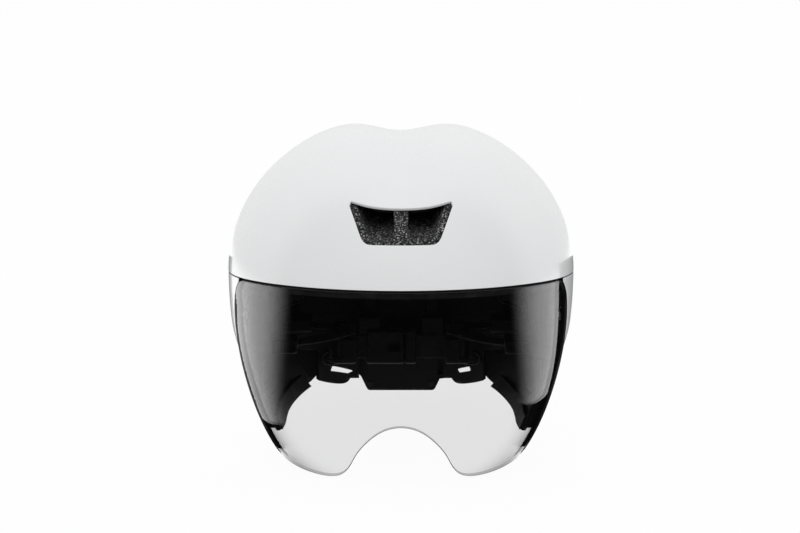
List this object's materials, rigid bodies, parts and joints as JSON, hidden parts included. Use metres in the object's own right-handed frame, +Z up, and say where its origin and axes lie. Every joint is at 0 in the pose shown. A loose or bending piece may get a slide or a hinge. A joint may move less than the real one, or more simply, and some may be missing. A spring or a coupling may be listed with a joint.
{
  "type": "aero time trial helmet",
  "caption": "Aero time trial cycling helmet with a wraparound magnetic lens, front vent, tail exhaust, pads, straps and a dial fit cradle",
  "frame": {"origin": "middle of the underside of the bounding box, on the surface the helmet stands on", "axes": "+X to the wearer's left, +Y back towards the tail, +Z up"},
  "size_m": [0.2064, 0.2898, 0.1888],
  "materials": {
    "shell_white": "high gloss white",
    "trim_black": "satin black",
    "foam_black": "matt beaded foam with light specks",
    "lens_smoke": "clear, lightly smoked, polished",
    "seal_rubber": "matt black",
    "pad_fabric": "black knitted pad cover",
    "web_fabric": "black woven webbing",
    "magnet_metal": "nickel plated",
    "screw_steel": "blackened",
    "dial_rubber": "satin black, fluted"
  },
  "bodies": {
    "helmet": {"outer_shell": "shell_white", "side_panel_left": "shell_white", "side_panel_right": "shell_white", "rear_panel": "shell_white", "tail_frame": "trim_black", "exhaust_grille": "trim_black", "foam_liner": "foam_black", "brow_seal": "seal_rubber", "lens_seat_left": "seal_rubber", "lens_seat_right": "seal_rubber", "magnet_cup_left": "trim_black", "magnet_cup_right": "trim_black", "shell_magnets": "magnet_metal", "rim_trim_left": "seal_rubber", "rim_trim_right": "seal_rubber", "brow_pad": "pad_fabric", "side_pad_left": "pad_fabric", "side_pad_right": "pad_fabric", "crown_pad_left": "pad_fabric", "crown_pad_right": "pad_fabric", "ear_pad_left": "pad_fabric", "ear_pad_right": "pad_fabric", "front_strap_left": "web_fabric", "front_strap_right": "web_fabric", "rear_strap_left": "web_fabric", "rear_strap_right": "web_fabric", "chin_strap_right": "web_fabric", "strap_anchors": "trim_black", "strap_slider_left": "trim_black", "strap_slider_right": "trim_black", "buckle_female": "trim_black", "height_rail_left": "trim_black", "height_rail_right": "trim_black"},
    "visor": {"lens": "lens_smoke", "lens_magnets": "magnet_metal"},
    "cradle": {"cradle": "trim_black", "dial_cover": "trim_black", "cover_screws": "screw_steel"},
    "dial": {"dial_knob": "dial_rubber", "pinion": "trim_black"},
    "belt_left": {"belt_left": "trim_black", "belt_pad_left": "pad_fabric"},
    "belt_right": {"belt_right": "trim_black", "belt_pad_right": "pad_fabric"},
    "buckle_male": {"buckle_male": "trim_black", "chin_strap_left": "web_fabric"},
    "cam_lever_left": {"cam_lever_left": "trim_black"},
    "cam_lever_right": {"cam_lever_right": "trim_black"}
  },
  "joints": [
    {"name": "visor_off", "type": "slide", "parent": "helmet", "child": "visor", "axis": [0, -1, 0], "range_m": [0, 0.16]},
    {"name": "cradle_height", "type": "slide", "parent": "helmet", "child": "cradle", "axis": [0, 0, 1], "range_m": [0, 0.014]},
    {"name": "dial_turn", "type": "hinge", "parent": "cradle", "child": "dial", "pos_m": [0, 0.068, 0.03], "axis": [0, 1, 0], "range_deg": [0, 78]},
    {"name": "belt_left_slide", "type": "slide", "parent": "cradle", "child": "belt_left", "axis": [-1, 0, 0], "range_m": [0, 0.0083]},
    {"name": "belt_right_slide", "type": "slide", "parent": "cradle", "child": "belt_right", "axis": [1, 0, 0], "range_m": [0, 0.0083]},
    {"name": "buckle_release", "type": "slide", "parent": "helmet", "child": "buckle_male", "axis": [1, 0, 0], "range_m": [0, 0.014]},
    {"name": "cam_lever_left_open", "type": "hinge", "parent": "helmet", "child": "cam_lever_left", "pos_m": [0.0383, 0.0152, 0.049], "axis": [0, 0, 1], "range_deg": [0, 75]},
    {"name": "cam_lever_right_open", "type": "hinge", "parent": "helmet", "child": "cam_lever_right", "pos_m": [-0.0383, 0.0152, 0.049], "axis": [0, 0, -1], "range_deg": [0, 75]}
  ],
  "couplings": [
    {"joint": "belt_left_slide", "follows": "dial_turn", "m_per_rad": 0.006},
    {"joint": "belt_right_slide", "follows": "dial_turn", "m_per_rad": 0.006}
  ]
}
